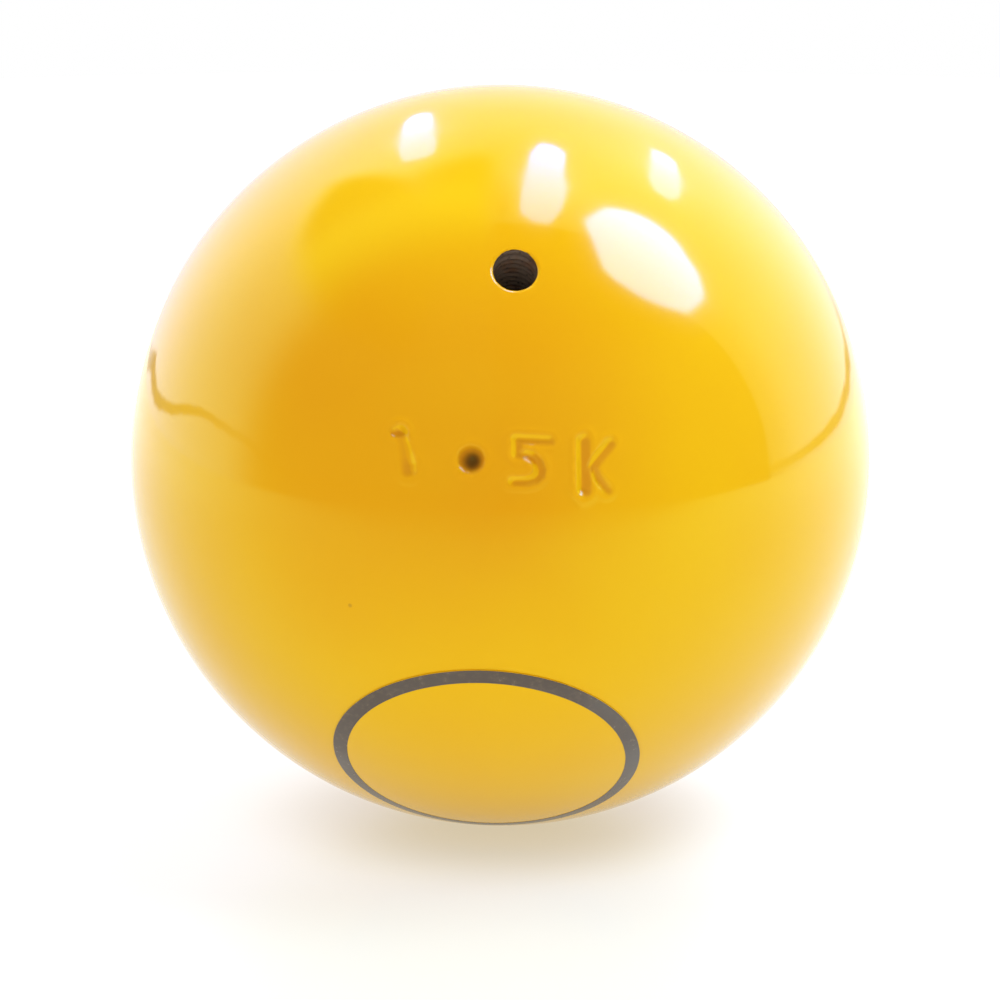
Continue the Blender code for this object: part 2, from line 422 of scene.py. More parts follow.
def iron_radius(sizes):
    """The iron ball's radius."""
    return sizes.ball_diameter / 2 - sizes.coat_thickness - sizes.coat_gap


def mouth_edge(sizes):
    """Where the iron's countersink ends on the bore's wall."""
    rim = sizes.bore_radius + sizes.countersink
    return sizes.bore_radius, sqrt(iron_radius(sizes) ** 2 - rim**2) - sizes.countersink


def rounding_centre(sizes):
    """The centre of the arc that touches both the ball and the countersink of the iron."""
    edge_radius, edge_height = mouth_edge(sizes)
    half_root = sqrt(0.5)
    start_radius = edge_radius + sizes.mouth_rounding * half_root
    start_height = edge_height - sizes.mouth_rounding * half_root
    half = (start_radius + start_height) * half_root
    reach = iron_radius(sizes) - sizes.mouth_rounding
    travel = -half + sqrt(half**2 - (start_radius**2 + start_height**2 - reach**2))
    return start_radius + travel * half_root, start_height + travel * half_root


def skin_profile(sizes, offset, end_radius, fine):
    """Profile of the skin at this offset from the iron: its points from the far pole to
    inside the mouth, and the outward normal at each, as arrays of (radius, height)."""
    centre = np.array(rounding_centre(sizes))
    touch = atan2(*centre)
    first, last = MARK_ROWS
    near = graded(touch, last, first, last, fine, coarse=radians(2.3), change=radians(30.0))
    far = graded(last, pi, last, last, fine, coarse=radians(2.8), change=radians(14.0))
    ball = np.concatenate([near, far[1:]])[::-1][1:]
    rounding = np.linspace(touch, -pi / 4, MOUTH_ROWS - LIP_ROWS)[1:]
    ball_normals = np.stack([np.sin(ball), np.cos(ball)], -1)
    ball_points = (iron_radius(sizes) + offset) * ball_normals
    round_normals = np.stack([np.sin(rounding), np.cos(rounding)], -1)
    round_points = centre + (sizes.mouth_rounding + offset) * round_normals
    run = round_points[-1][0] - end_radius
    share = np.linspace(0.0, 1.0, LIP_ROWS + 1)[1:, None]
    cone_points = round_points[-1] - share * np.array([run, run])
    cone_normals = np.repeat(round_normals[-1:], len(cone_points), axis=0)
    points = np.concatenate([ball_points, round_points, cone_points])
    normals = np.concatenate([ball_normals, round_normals, cone_normals])
    return points, normals


def skin_rings(sizes, offset, end_radius, fine, turns, ends=None):
    """Rings of the skin at this offset from the iron, the painted shade and light of the mark
    there, and the far pole. Where given, ends says for each column how far into the mouth the skin
    reaches."""
    points, normals = skin_profile(sizes, offset, end_radius, fine)
    rings = spun(points[:, :1], points[:, 1:], turns)
    ring_normals = spun(normals[:, :1], normals[:, 1:], turns)
    if ends is not None:
        mouth = len(points) - MOUTH_ROWS
        rows = np.arange(MOUTH_ROWS, dtype=float)
        for column, (end, turn) in enumerate(zip(ends, turns)):
            for source, target in ((points, rings), (normals, ring_normals)):
                across, height = (np.interp(rows * end, rows, source[mouth:, k]) for k in (0, 1))
                target[mouth:, column, 0] = across * cos(turn)
                target[mouth:, column, 1] = across * sin(turn)
                target[mouth:, column, 2] = height
    placed, painted_shading = sunk(sizes, rings, ring_normals)
    return placed, painted_shading, (0.0, 0.0, -(iron_radius(sizes) + offset))


# The bore's threads

# Shares of the pitch, from the middle of a root: half its flat, and where the flank ends
THREAD_FLAT = 0.125
THREAD_FLANK = 0.625
ROWS_A_PITCH = 8
DRILL_HALF_ANGLE = radians(59.0)


def thread_radius(sizes, heights, turns):
    """Radius of the tapped wall at each height and turn: flat crests and roots, sloped flanks."""
    phase = np.mod(heights[:, None] / sizes.thread_pitch - turns / FULL_TURN, 1.0)
    from_root = np.abs(phase - 0.5) * 2.0
    share = np.clip((from_root - THREAD_FLAT) / THREAD_FLANK, 0.0, 1.0)
    return sizes.thread_root + share * (sizes.thread_crest - sizes.thread_root)


def bore_floor(sizes):
    """Height of the bore's floor along its axis, from the ball's middle."""
    return iron_radius(sizes) - sizes.bore_depth


def tapped_wall(sizes, turns):
    """Rings of the bore from under the countersink to its floor, and the drill point."""
    edge_radius, top = mouth_edge(sizes)
    floor = bore_floor(sizes)
    thread_end = floor + sizes.screw_seat - 0.5 * sizes.thread_pitch
    step = sizes.thread_pitch / ROWS_A_PITCH
    heights = np.arange(top - step, thread_end, -step)
    radii = thread_radius(sizes, heights, turns)
    start = np.clip((top - heights) / sizes.thread_pitch, 0.0, 1.0)[:, None]
    radii = edge_radius + start * (radii - edge_radius)
    below = np.array([[sizes.thread_crest, thread_end - step], [sizes.thread_crest, floor]])
    plain = spun(below[:, :1], below[:, 1:], turns)
    rings = np.concatenate([spun(radii, heights[:, None], turns), plain])
    drill_point = (0.0, 0.0, floor - sizes.thread_crest / tan(DRILL_HALF_ANGLE))
    return rings, drill_point


# Node materials

# What the finishes mix in: specks in the enamel, rust and pores on the iron, bloom on the
# lead, steel and ink rubbed bare or thin, and a painted warm light bounced from the ball into
# the table's glow under it
SPECK = (0.40, 0.16, 0.02)
RUST = (0.19, 0.095, 0.050)
PORE = (0.012, 0.010, 0.009)
LEAD_BLOOM = (0.34, 0.34, 0.35)
RUBBED_STEEL = (0.16, 0.16, 0.17)
THIN_INK = (0.15, 0.11, 0.07)
GREY_INK = (0.13, 0.12, 0.11)
PAINTED_BOUNCE = (1.0, 0.93, 0.74)
WHITE = (1.0, 1.0, 1.0)
# Middle of the patch of painted shade on the front, and between what distances it fades
FRONT_SHADE_PLACE = (-8 * MM, -33 * MM, 11 * MM)
FRONT_SHADE_REACH = (8 * MM, 30 * MM)
# The enamel's own gloss mirrors little but green and red, and its clear top mirrors all
GLOSS_TINT = (0.30, 1.0, 0.05, 1.0)
CLEAR_TOP = 0.12


class Nodes:
    """The node tree of a material or a world, with short ways to add nodes and join them."""

    def __init__(self, owner, place="Object", clear=False):
        owner.use_nodes = True
        self.owner = owner
        self.tree = owner.node_tree
        if clear:
            self.tree.nodes.clear()
        if place:
            self.places = self.add("ShaderNodeTexCoord").outputs[place]

    def feed(self, target, value):
        """Sets an input to a value, or joins it to another node's output."""
        if isinstance(value, bpy.types.NodeSocket):
            self.tree.links.new(value, target)
        else:
            target.default_value = value

    def add(self, kind, *values, **settings):
        """A new node with these settings, and these values for its inputs in their order."""
        node = self.tree.nodes.new(kind)
        for key, value in settings.items():
            setattr(node, key, value)
        for socket, value in zip(node.inputs, values):
            self.feed(socket, value)
        return node

    def attribute(self, name):
        """A number that the mesh holds at each point."""
        return self.add("ShaderNodeAttribute", attribute_name=name).outputs["Fac"]

    def noise(self, size, detail=2.0, roughness=0.5):
        """Noise whose features are about this size, in metres."""
        node = self.add("ShaderNodeTexNoise", self.places)
        for name, value in (("Scale", 1.0 / size), ("Detail", detail), ("Roughness", roughness)):
            node.inputs[name].default_value = value
        return node.outputs["Fac"]

    def cells(self, size):
        """The nearest of points scattered about this far apart, in metres: how far, and which."""
        node = self.add("ShaderNodeTexVoronoi", self.places, feature="F1")
        node.inputs["Scale"].default_value = 1.0 / size
        return node.outputs["Distance"], node.outputs["Color"]

    def spread(self, value, *limits):
        """A value brought smoothly from one range to another, or to 0 and 1, and held there."""
        node = self.add("ShaderNodeMapRange", value, *limits, interpolation_type="SMOOTHSTEP")
        return node.outputs["Result"]

    def mix(self, share, one, other):
        """A colour between two."""
        node = self.add("ShaderNodeMix", share, data_type="RGBA")
        for socket in (s for s in node.inputs if s.type == "RGBA"):
            shade = one if socket.name == "A" else other
            joined = isinstance(shade, bpy.types.NodeSocket)
            self.feed(socket, shade if joined else (*shade, 1.0))
        return [s for s in node.outputs if s.type == "RGBA"][0]

    def sums(self, operation, one, other=0.0):
        """One value worked out from two, or from one."""
        return self.add("ShaderNodeMath", one, other, operation=operation).outputs[0]

    def times(self, one, other):
        """Two values multiplied."""
        return self.sums("MULTIPLY", one, other)

    def measure(self, operation, other=(0.0, 0.0, 0.0)):
        """One value worked out from the place and another vector."""
        node = self.add("ShaderNodeVectorMath", self.places, other, operation=operation)
        return node.outputs["Value"]

    def bump(self, height, distance):
        """A normal from a height of 0 to 1 that stands this far out, in metres."""
        node = self.add("ShaderNodeBump", 1.0, distance)
        self.feed(node.inputs["Height"], height)
        return node.outputs["Normal"]

    def shaded(self, **values):
        """The material, once its shader has these values or sockets, by the shader's own
        input names with spaces left out."""
        for socket in self.tree.nodes["Principled BSDF"].inputs:
            key = socket.name.replace(" ", "")
            if key in values and socket.enabled:
                self.feed(socket, values[key])
        return self.owner


def material_nodes(name):
    """The nodes of a new material."""
    return Nodes(bpy.data.materials.new(name))


def enamel_colour(nodes, colours):
    """The coat's yellow, deeper in slow random changes and in a broad patch of painted shade on the
    front.
    """
    # A broad patch of painted shade on the front
    front_shade = nodes.spread(nodes.measure("DISTANCE", FRONT_SHADE_PLACE), *FRONT_SHADE_REACH, 0.85, 0.0)
    slow = nodes.spread(nodes.noise(22 * MM), 0.3, 0.7, 0.0, 0.25)
    return nodes.mix(nodes.sums("ADD", slow, front_shade), colours.enamel, colours.deep_tone_and_shade)


def enamel_material(colours):
    """Baked gloss enamel: slow random changes of tone, a broad painted shade on the front, a fine
    orange peel, a few specks, painted shade in the struck mark, darkest in the point, and paler
    painted light on the mark's lit sides."""
    nodes = material_nodes("signal_yellow_enamel")
    coat = enamel_colour(nodes, colours)
    away, cell = nodes.cells(6.5 * MM)
    speck = nodes.spread(away, 0.020, 0.045, 0.45, 0.0)
    chosen = nodes.add("ShaderNodeSeparateColor", cell).outputs[0]
    few = nodes.spread(chosen, 0.70, 0.72)
    coat = nodes.mix(nodes.times(speck, few), coat, SPECK)
    painted_shading = nodes.attribute(SHADING_ATTRIBUTE)
    # Paler painted light on the strokes' lit sides, painted shade in the strokes, and darker
    # painted shade deepest in the mark, mostly in the point
    coat = nodes.mix(nodes.spread(painted_shading, -0.22, -0.02, 0.7, 0.0), coat, colours.lit_stroke_sides)
    coat = nodes.mix(nodes.spread(painted_shading, 0.04, 0.32, 0.0, 0.85), coat, colours.pooled)
    coat = nodes.mix(nodes.spread(painted_shading, 0.35, 1.60), coat, colours.pit_shade)
    return nodes.shaded(
        BaseColor=coat,
        Roughness=nodes.spread(nodes.noise(9 * MM, detail=3.0), 0.3, 0.7, 0.05, 0.08),
        IOR=1.5,
        SpecularIORLevel=0.5,
        SpecularTint=GLOSS_TINT,
        CoatWeight=CLEAR_TOP,
        CoatRoughness=0.03,
        CoatIOR=1.5,
        Normal=nodes.bump(nodes.noise(1.6 * MM, detail=1.0), 0.0010 * MM),
    )


def film_material(colours):
    """Clear gloss film laid on the enamel, which shows through it in its own yellow."""
    nodes = material_nodes("gloss_film")
    return nodes.shaded(
        BaseColor=enamel_colour(nodes, colours),
        Roughness=nodes.spread(nodes.noise(4 * MM, detail=3.0), 0.3, 0.7, 0.12, 0.17),
        IOR=1.5,
        SpecularTint=GLOSS_TINT,
        CoatWeight=CLEAR_TOP,
        CoatRoughness=0.06,
        Normal=nodes.bump(nodes.noise(3.0 * MM), 0.002 * MM),
    )


def iron_material(colours):
    """Grey iron, bare and oiled: dark grains, pores and a brown bloom."""
    nodes = material_nodes("bare_iron")
    rust = nodes.spread(nodes.noise(1.8 * MM, detail=4.0), 0.48, 0.75)
    pores = nodes.spread(nodes.cells(0.5 * MM)[0], 0.05, 0.35, 0.6, 0.0)
    return nodes.shaded(
        BaseColor=nodes.mix(pores, nodes.mix(rust, colours.iron, RUST), PORE),
        Metallic=0.4,
        Roughness=nodes.spread(nodes.noise(0.7 * MM, detail=3.0), 0.3, 0.7, 0.50, 0.75),
        Normal=nodes.bump(nodes.noise(0.35 * MM, detail=4.0, roughness=0.6), 0.03 * MM),
    )


def lead_material(colours):
    """Cast lead: dull grey with a pale bloom and a soft, pitted face."""
    nodes = material_nodes("cast_lead")
    bloom = nodes.spread(nodes.noise(1.5 * MM, detail=4.0), 0.45, 0.75)
    return nodes.shaded(
        BaseColor=nodes.mix(bloom, colours.lead, LEAD_BLOOM),
        Metallic=0.75,
        Roughness=nodes.spread(bloom, 0.0, 1.0, 0.42, 0.62),
        Normal=nodes.bump(nodes.noise(0.5 * MM, detail=4.0), 0.04 * MM),
    )


def steel_material(colours):
    """Blackened steel: an oiled black oxide, rubbed brighter in patches."""
    nodes = material_nodes("oiled_black_steel")
    rubbed = nodes.spread(nodes.noise(0.8 * MM, detail=5.0), 0.55, 0.80)
    return nodes.shaded(
        BaseColor=nodes.mix(rubbed, colours.steel, RUBBED_STEEL),
        Metallic=0.85,
        Roughness=nodes.spread(nodes.noise(0.3 * MM, detail=3.0), 0.3, 0.7, 0.28, 0.42),
        Normal=nodes.bump(nodes.noise(0.12 * MM, detail=3.0), 0.006 * MM),
    )


def ink_material(colours):
    """Screen-printed ink: nearly black, a little thin in places where the yellow warms it."""
    nodes = material_nodes("ring_ink")
    thin = nodes.spread(nodes.noise(0.9 * MM, detail=4.0, roughness=0.6), 0.45, 0.85)
    slow = nodes.spread(nodes.noise(9 * MM, detail=1.0), 0.40, 0.70)
    dark = nodes.mix(thin, colours.ink, THIN_INK)
    return nodes.shaded(
        BaseColor=nodes.mix(nodes.times(slow, 0.6), dark, GREY_INK),
        Roughness=nodes.spread(thin, 0.0, 1.0, 0.22, 0.34),
        Normal=nodes.bump(nodes.noise(0.25 * MM, detail=3.0), 0.004 * MM),
    )


# Operators


class SHOT_OT_cast_ball(bpy.types.Operator):
    """Builds the iron ball with its tapped trim bore, and the mark struck in it"""

    bl_idname = "shot.cast_ball"
    bl_label = "Iron ball"

    def execute(self, context):
        sizes = context.scene.shot_sizes
        turns = skin_turns()[::2]
        skin, _, pole = skin_rings(sizes, 0.0, sizes.bore_radius, ROWS_HIDDEN, turns)
        wall, drill_point = tapped_wall(sizes, turns)
        mesh = ring_mesh("iron_ball", np.concatenate([skin, wall]), (pole, drill_point))
        material = iron_material(context.scene.shot_colours)
        made = finished("iron_ball", mesh, material, bore_axis(sizes))
        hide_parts("cast_ball")
        return {"FINISHED"}


class SHOT_OT_enamel(bpy.types.Operator):
    """Builds the enamel coat, rolled over the bore's mouth and softening the struck mark"""

    bl_idname = "shot.enamel"
    bl_label = "Enamel coat"

    def execute(self, context):
        sizes = context.scene.shot_sizes
        turns = skin_turns()
        outer = sizes.coat_gap + sizes.coat_thickness
        lip = sizes.lip_radius
        # The lip drew back from the upper side of the mouth, and its edge wavers
        upper = 0.5 + 0.5 * np.sin(turns)
        waver = 0.02 * np.sin(5 * turns + 1.0) + 0.02 * np.sin(11 * turns)
        ends = 0.98 - 0.50 * upper**3 - np.abs(waver)
        outside, painted_shading, pole = skin_rings(sizes, outer, lip, ROWS_SEEN, turns, ends)
        inside, inner_painted_shading, inner_pole = skin_rings(
            sizes, sizes.coat_gap, lip, ROWS_HIDDEN, turns, ends
        )
        rings = np.concatenate([outside, inside[::-1]])
        mesh = ring_mesh("enamel_shell", rings, (pole, inner_pole))
        pooled = mesh.attributes.new(SHADING_ATTRIBUTE, "FLOAT", "POINT")
        values = np.concatenate([painted_shading.ravel(), inner_painted_shading[::-1].ravel(), (0.0, 0.0)])
        pooled.data.foreach_set("value", values)
        material = enamel_material(context.scene.shot_colours)
        made = finished("enamel_shell", mesh, material, bore_axis(sizes))
        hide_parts("enamel_coat")
        return {"FINISHED"}


class SHOT_OT_trim_lead(bpy.types.Operator):
    """Gives the lead slug in the bore its cast finish"""

    bl_idname = "shot.trim_lead"
    bl_label = "Lead slug"

    def execute(self, context):
        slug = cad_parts["trim_lead"]
        slug.data.materials.clear()
        slug.data.materials.append(lead_material(context.scene.shot_colours))
        return {"FINISHED"}


class SHOT_OT_set_screw(bpy.types.Operator):
    """Builds the threaded set screw with its hexagon socket"""

    bl_idname = "shot.set_screw"
    bl_label = "Set screw"

    def execute(self, context):
        sizes = context.scene.shot_sizes
        turns = columns_round(72)
        bottom = bore_floor(sizes) + sizes.screw_seat
        top = bottom + sizes.screw_length
        heights = np.linspace(bottom, top, 76)
        radii = thread_radius(sizes, heights, turns) - sizes.thread_clearance
        chamfer = 0.45 * MM
        widest = sizes.thread_root - sizes.thread_clearance - chamfer
        to_end = np.minimum(heights - bottom, top - heights)[:, None]
        radii = np.minimum(radii, widest + to_end)
        point = np.array([[1.15 * MM, bottom + 0.18 * MM], [1.55 * MM, bottom]])
        hexagon = sizes.socket_flats / 2 / np.cos(np.mod(turns, pi / 3) - pi / 6)
        mouth = np.maximum(1.42 * MM, hexagon + 0.05 * MM)
        socket = top - sizes.socket_depth
        drop = np.array([top, top - 0.12 * MM, socket])[:, None]
        rings = np.concatenate(
            [
                spun(point[:, :1], point[:, 1:], turns),
                spun(radii, heights[:, None], turns),
                spun(np.stack([mouth, hexagon, hexagon]), drop, turns),
            ]
        )
        point_tip = (0.0, 0.0, bottom + 0.30 * MM)
        socket_floor = (0.0, 0.0, socket - 0.5 * MM)
        mesh = ring_mesh("grub_screw", rings, (point_tip, socket_floor))
        material = steel_material(context.scene.shot_colours)
        made = finished("grub_screw", mesh, material, bore_axis(sizes), sharp=35.0)
        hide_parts("set_screw")
        return {"FINISHED"}


def cap_rings(inner, outer, start, stop, rows, turns, edges=(0.0, 0.0)):
    """Rings of a thin cap or band on the ball, outside first, between two angles from its axis.
    The edges are how much farther out each of its two sides lies, for each turn."""
    angles = np.linspace(start, stop, rows)[:, None] * np.ones_like(turns)
    angles[0] += edges[0]
    angles[-1] += edges[1]
    over, under = (
        spun(radius * np.sin(angles), radius * np.cos(angles), turns) for radius in (outer, inner)
    )
    return np.concatenate([over, under[::-1]])


class SHOT_OT_label(bpy.types.Operator):
    """Builds the round film label and the ring printed along its edge"""

    bl_idname = "shot.label"
    bl_label = "Film label"

    def execute(self, context):
        sizes = context.scene.shot_sizes
        colours = context.scene.shot_colours
        rotation = axis_rotation(sizes.label_elevation, sizes.label_turn)
        radius = sizes.ball_diameter / 2
        rim = sizes.label_diameter / 2 / radius
        under, over = radius + 0.04 * MM, radius + 0.11 * MM
        cap = cap_rings(under, over, radians(1.0), rim, rows=26, turns=columns_round(180))
        film = ring_mesh("film", cap, ((0.0, 0.0, over), (0.0, 0.0, under)))
        made = finished("film", film, film_material(colours), rotation)
        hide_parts("label_film")

        # The printed ring's two edges waver, each in its own way
        turns = columns_round(720)
        maker = np.random.default_rng(3)
        waver = np.zeros((2, len(turns)))
        for edge in waver:
            for n in range(3, 60):
                edge += maker.normal() * np.sin(n * turns + maker.uniform(0, 6.3)) / n
        ink_under, ink_over = over + 0.004 * MM, over + 0.022 * MM
        start, stop = rim - sizes.border_width / radius, rim - 0.04 * MM / radius
        edges = 0.00035 * waver
        band = cap_rings(ink_under, ink_over, start, stop, rows=7, turns=turns, edges=edges)
        ring = ring_mesh("printed_ring", band)
        finished("printed_ring", ring, ink_material(colours), rotation)
        return {"FINISHED"}


# Studio

PANEL_DISTANCE = 0.9
GLEAM_DISTANCE = 0.88
LEVEL = "level"
# Rings of a gleam's soft edge: millimetres out from its outline, and how bright it is there
GLEAM_EDGE = (
    (120, 0.0), (60, 0.02), (25, 0.07), (10, 0.22), (0, 0.50), (-8, 0.85), (-18, 1.0),
)
PANEL_EDGE = ((0, 1.0),)
# The outlines of the windows and the panels, as directions from the ball in thousandths:
# right, back, up
WINDOW_LEFT = (
    (-177, 658, 732), (-164, 730, 664), (-143, 839, 524), (-159, 858, 488), (-181, 847, 500),
    (-208, 810, 548), (-236, 752, 616), (-261, 691, 674), (-289, 609, 739), (-302, 501, 811),
    (-265, 491, 830), (-235, 490, 839), (-205, 510, 836), (-186, 585, 789),
)
WINDOW_MIDDLE = (
    (220, 316, 923), (212, 381, 900), (198, 507, 839), (158, 551, 819), (117, 557, 822),
    (93, 465, 881), (91, 360, 929), (83, 297, 951), (81, 233, 969), (76, 150, 986), (76, 14, 997),
    (135, -38, 990), (203, -33, 979), (238, 81, 968), (242, 182, 953), (238, 257, 937),
)
WINDOW_RIGHT = (
    (450, 683, 575), (429, 716, 551), (405, 750, 524), (386, 764, 516), (367, 773, 518),
    (345, 764, 545), (396, 651, 648), (420, 588, 691), (438, 534, 724), (459, 495, 738),
    (481, 460, 747), (503, 453, 737), (531, 445, 721), (536, 506, 676), (501, 596, 627),
    (472, 651, 595),
)
KEY_PANEL = (
    (683, 161, 712), (648, 196, 736), (614, 215, 759), (579, 228, 783), (537, 233, 811),
    (478, 228, 848), (392, 189, 901), (325, 44, 945), (399, -119, 909), (440, -203, 875),
    (493, -237, 837), (540, -242, 806), (581, -245, 776), (627, -235, 743), (685, -207, 698),
    (770, -129, 625), (787, 30, 616), (734, 125, 668),
)
FILL_PANEL = ((-600, -800, 0), (600, -800, 0), (600, -600, 550), (-600, -600, 550))


def smoothed(corners):
    """An outline with its corners cut twice."""
    for _ in range(2):
        after = np.roll(corners, -1, axis=0)
        cut = np.stack([0.85 * corners + 0.15 * after, 0.15 * corners + 0.85 * after], 1)
        corners = cut.reshape(-1, 3)
    return corners


def panel_light(name, corners, brightness, gleam=False):
    """A panel of light whose corners lie in these directions from the ball. A gleam has a soft
    edge, and shows in the gloss alone. Other panels light without showing."""
    corners = np.array(corners, float)
    corners /= np.linalg.norm(corners, axis=1)[:, None]
    corners = smoothed(corners) * (GLEAM_DISTANCE if gleam else PANEL_DISTANCE)
    middle = corners.mean(0)
    spokes = corners - middle
    lengths = np.linalg.norm(spokes, axis=1)[:, None]
    rings = GLEAM_EDGE if gleam else PANEL_EDGE
    points = np.concatenate([spokes * (1.0 + out * MM / lengths) for out, _ in rings])
    count = len(corners)
    faces = [
        (row + k, row + (k + 1) % count, row + count + (k + 1) % count, row + count + k)
        for row in range(0, len(points) - count, count)
        for k in range(count)
    ]
    faces.append(tuple(range(len(points) - count, len(points))))
    mesh = bpy.data.meshes.new(name)
    mesh.from_pydata(points.tolist(), [], faces)
    level = mesh.attributes.new(LEVEL, "FLOAT", "POINT")
    level.data.foreach_set("value", np.repeat([share for _, share in rings], count))

    nodes = Nodes(bpy.data.materials.new(name), place=None, clear=True)
    strength = max(brightness)
    tint = (*(part / strength for part in brightness), 1.0)
    glow = nodes.add("ShaderNodeEmission", tint, nodes.times(nodes.attribute(LEVEL), strength))
    clear = nodes.add("ShaderNodeBsdfTransparent")
    both = nodes.add("ShaderNodeAddShader", glow.outputs[0], clear.outputs[0])
    nodes.add("ShaderNodeOutputMaterial", both.outputs[0])
    mesh.materials.append(nodes.owner)

    panel = bpy.data.objects.new(name, mesh)
    panel.location = Vector(middle.tolist())
    panel.visible_camera = False
    panel.visible_shadow = False
    panel.visible_diffuse = not gleam
    panel.visible_glossy = gleam
    bpy.context.scene.collection.objects.link(panel)
    return panel


def studio_world(studio):
    """A white room behind the ball and a dim one in front, with a thin seam behind the
    table's edge. The camera sees plain white."""
    world = bpy.data.worlds.new("studio")
    bpy.context.scene.world = world
    nodes = Nodes(world, place="Generated", clear=True)
    sums, times, ramp = nodes.sums, nodes.times, nodes.spread
    across, back, up = (nodes.measure("DOT_PRODUCT", way) for way in np.eye(3).tolist())
    right = ramp(across, -0.10, 0.04)
    # On the right the white starts crisply, farther forward with height but not overhead
    lean = times(times(up, up), ramp(up, 0.86, 0.93, -0.30, -0.03))
    past = sums("SUBTRACT", back, lean)
    crisp = times(ramp(past, -0.012, 0.012), ramp(past, 0.0, 0.36, 0.50, 1.0))
    # On the left it starts softly, and ends at a warm ceiling that is dimmer far back
    top = ramp(across, -0.50, -0.28, 0.66, 0.885)
    above = ramp(sums("SUBTRACT", up, top), -0.09, 0.07)
    ceiling = ramp(above, 0.0, 1.0, 1.0, ramp(back, 0.15, 0.45, 0.85, 0.25))
    left_wall = times(ramp(back, -0.36, 0.20), ceiling)
    wall = ramp(right, 0.0, 1.0, left_wall, crisp)
    low = ramp(up, 0.55, 0.75, 1.0, 0.0)
    left_front = times(ramp(low, 0.0, 1.0, 0.7, 1.0), studio.front_left)
    front = ramp(right, 0.0, 1.0, left_front, times(low, studio.front_right))
    # Straight behind the ball the walls are farther off, dimmer and warmer
    flat = sums("SQRT", sums("SUBTRACT", 1.0, times(up, up)))
    aside = sums("DIVIDE", sums("ABSOLUTE", across), flat)
    white = times(ramp(aside, 0.0, 0.75, 0.54, 1.0), studio.backdrop)
    white = times(white, ramp(low, 0.0, 1.0, studio.tall, 1.0))
    level = ramp(wall, 0.0, 1.0, front, white)
    # The seam's height: falling towards the back on the left, level on the right, and ragged
    fall = sums("ADD", ramp(back, 0.20, 0.80, 0.0, -0.135), ramp(back, -0.40, 0.0, 0.0, 0.078))
    fall = sums("ADD", fall, ramp(back, 0.84, 1.0, 0.0, -0.10))
    height = ramp(right, 0.0, 1.0, fall, -0.055)
    tear = ramp(nodes.noise(1.0 / 14.0, detail=3.0), 0.3, 0.7, -0.004, 0.004)
    away = sums("ABSOLUTE", sums("SUBTRACT", sums("ADD", up, tear), height))
    faint = ramp(back, 0.84, 0.97, studio.seam, 0.2 * studio.seam)
    clear = times(faint, ramp(back, -0.30, 0.45, 0.25, 1.0))
    seam = times(ramp(away, 0.009, 0.022, 1.0, 0.0), clear)
    level = times(level, sums("SUBTRACT", 1.0, seam))
    sideways = nodes.mix(ramp(aside, 0.0, 0.45), studio.room_far, studio.room)
    overhead = times(above, sums("SUBTRACT", 1.0, right))
    tint = nodes.mix(overhead, sideways, studio.room_above)
    lit = nodes.add("ShaderNodeBackground", tint, level)
    seen = nodes.add("ShaderNodeBackground", (*WHITE, 1.0), 1.0)
    path = nodes.add("ShaderNodeLightPath").outputs
    either = sums("MAXIMUM", path["Is Camera Ray"], path["Is Transmission Ray"])
    blend = nodes.add("ShaderNodeMixShader", either, lit.outputs[0], seen.outputs[0])
    nodes.add("ShaderNodeOutputWorld", blend.outputs[0])


def studio_floor(studio, colours, height):
    """A round pale table of lit white acrylic, its edge a little below the ball's horizon."""
    profile = np.array([[0.02, 0.0], [0.1, 0.0], [0.3, 0.0], [0.46, 0.0], [0.46, -0.02]])
    rings = spun(profile[:, :1], profile[:, 1:], columns_round(128))
    mesh = ring_mesh("table", rings[::-1], ((0.0, 0.0, -0.02), (0.0, 0.0, 0.0)))
    table = bpy.data.objects.new("table", mesh)
    table.location = (0.0, 0.0, height)
    bpy.context.scene.collection.objects.link(table)
    nodes = material_nodes("pale_table")
    # Its glow is dimmest and warm right under the ball and rises away from it: a painted shadow of
    # the ball, with painted warm light bounced from it
    reach = nodes.measure("LENGTH")
    under = nodes.spread(reach, 8 * MM, 32 * MM)
    near = nodes.spread(under, 0.0, 1.0, studio.floor_shadowed_glow, studio.floor_glow)
    far = nodes.spread(reach, 0.08, 0.30, 0.0, studio.floor_far - studio.floor_glow)
    glow = nodes.sums("ADD", near, far)
    right, back, _ = nodes.add("ShaderNodeSeparateXYZ", nodes.places).outputs
    # It glows less in front of the ball, and a little more on its right
    glow = nodes.times(glow, nodes.spread(back, -0.30, -0.06, 0.15, 1.0))
    glow = nodes.times(glow, nodes.spread(right, 0.010, 0.055, 1.0, 1.28))
    material = nodes.shaded(
        BaseColor=(*colours.floor, 1.0),
        Roughness=0.35,
        SpecularIORLevel=0.3,
        EmissionColor=nodes.mix(under, PAINTED_BOUNCE, WHITE),
        EmissionStrength=glow,
    )
    mesh.materials.append(material)


def studio_camera(studio):
    """The camera, which looks a little below the ball's middle."""
    camera = bpy.data.objects.new("camera", bpy.data.cameras.new("camera"))
    camera.data.lens = studio.lens
    camera.data.sensor_width = 36.0
    camera.data.clip_start = 0.01
    camera.location = direction(studio.camera_elevation, 0.0) * studio.camera_distance
    look, aside = studio.camera_elevation + studio.camera_tilt, atan(1.0 / 6005.0)
    camera.rotation_euler = (pi / 2 - look, 0.0, aside)
    bpy.context.scene.collection.objects.link(camera)
    bpy.context.scene.camera = camera


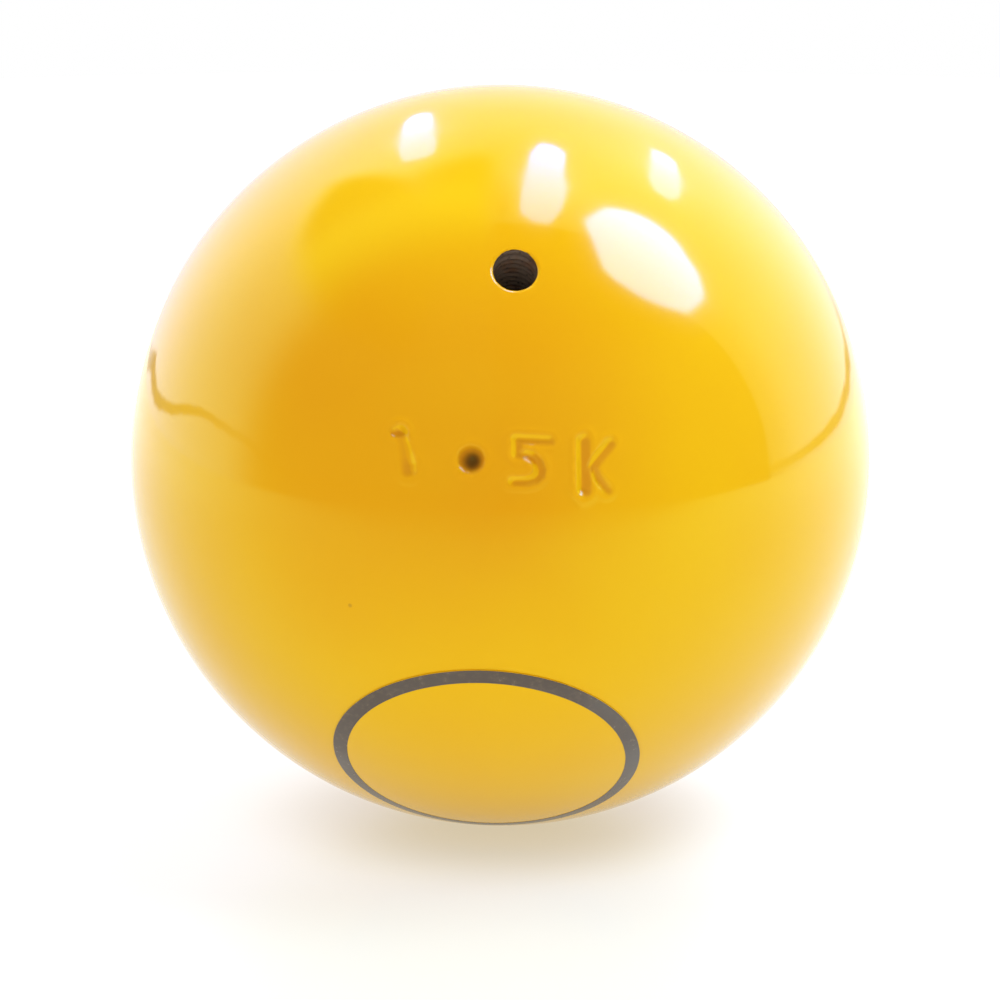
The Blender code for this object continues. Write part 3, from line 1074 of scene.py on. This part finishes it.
class SHOT_OT_stage(bpy.types.Operator):
    """Builds the table, the light and the camera"""

    bl_idname = "shot.stage"
    bl_label = "Studio"

    def execute(self, context):
        scene = context.scene
        studio = scene.shot_studio
        studio_world(studio)
        studio_floor(studio, scene.shot_colours, -scene.shot_sizes.ball_diameter / 2)
        # The gleams are for the enamel and the film on it, and leave the iron alone
        glossy = bpy.data.collections.new("glossy")
        for name in ("enamel_shell", "film"):
            glossy.objects.link(bpy.data.objects[name])
        for name, corners, plain, gleam in (
            ("window_left", WINDOW_LEFT, studio.windows, studio.gleam_side),
            ("window_right", WINDOW_RIGHT, studio.windows, studio.gleam_side),
            ("window_middle", WINDOW_MIDDLE, studio.windows, studio.gleam_middle),
            ("key", KEY_PANEL, studio.key, studio.gleam_key),
        ):
            panel_light(name + "_panel", corners, plain)
            shown = panel_light(name + "_gleam", corners, gleam, gleam=True)
            shown.light_linking.receiver_collection = glossy
        panel_light("fill_panel", FILL_PANEL, studio.fill)
        studio_camera(studio)
        scene.view_settings.view_transform = "Standard"
        return {"FINISHED"}


STEPS = (
    SHOT_OT_cast_ball,
    SHOT_OT_enamel,
    SHOT_OT_trim_lead,
    SHOT_OT_set_screw,
    SHOT_OT_label,
    SHOT_OT_stage,
)
GROUPS = {"shot_sizes": ShotSizes, "shot_colours": ShotColours, "shot_studio": ShotStudio}


class SHOT_PT_panel(bpy.types.Panel):
    """Lists the shot's pieces and the studio in the sidebar"""

    bl_idname = "SHOT_PT_panel"
    bl_label = "Throwing shot"
    bl_space_type = "VIEW_3D"
    bl_region_type = "UI"
    bl_category = "Shot"

    def draw(self, context):
        for step in STEPS:
            self.layout.operator(step.bl_idname)
        for group in GROUPS:
            box = self.layout.box()
            settings = getattr(context.scene, group)
            for key in settings.__annotations__:
                box.prop(settings, key)


CLASSES = (*GROUPS.values(), *STEPS, SHOT_PT_panel)


def register():
    """Adds the classes and the scene's settings to Blender."""
    for part in CLASSES:
        bpy.utils.register_class(part)
    for name, group in GROUPS.items():
        setattr(bpy.types.Scene, name, PointerProperty(type=group))


def unregister():
    """Takes them away again."""
    for name in GROUPS:
        delattr(bpy.types.Scene, name)
    for part in reversed(CLASSES):
        bpy.utils.unregister_class(part)


def main():
    """Builds every piece and the studio."""
    register()
    bpy.ops.shot.cast_ball()
    bpy.ops.shot.enamel()
    bpy.ops.shot.trim_lead()
    bpy.ops.shot.set_screw()
    bpy.ops.shot.label()
    bpy.ops.shot.stage()


if __name__ == "__main__":
    main()
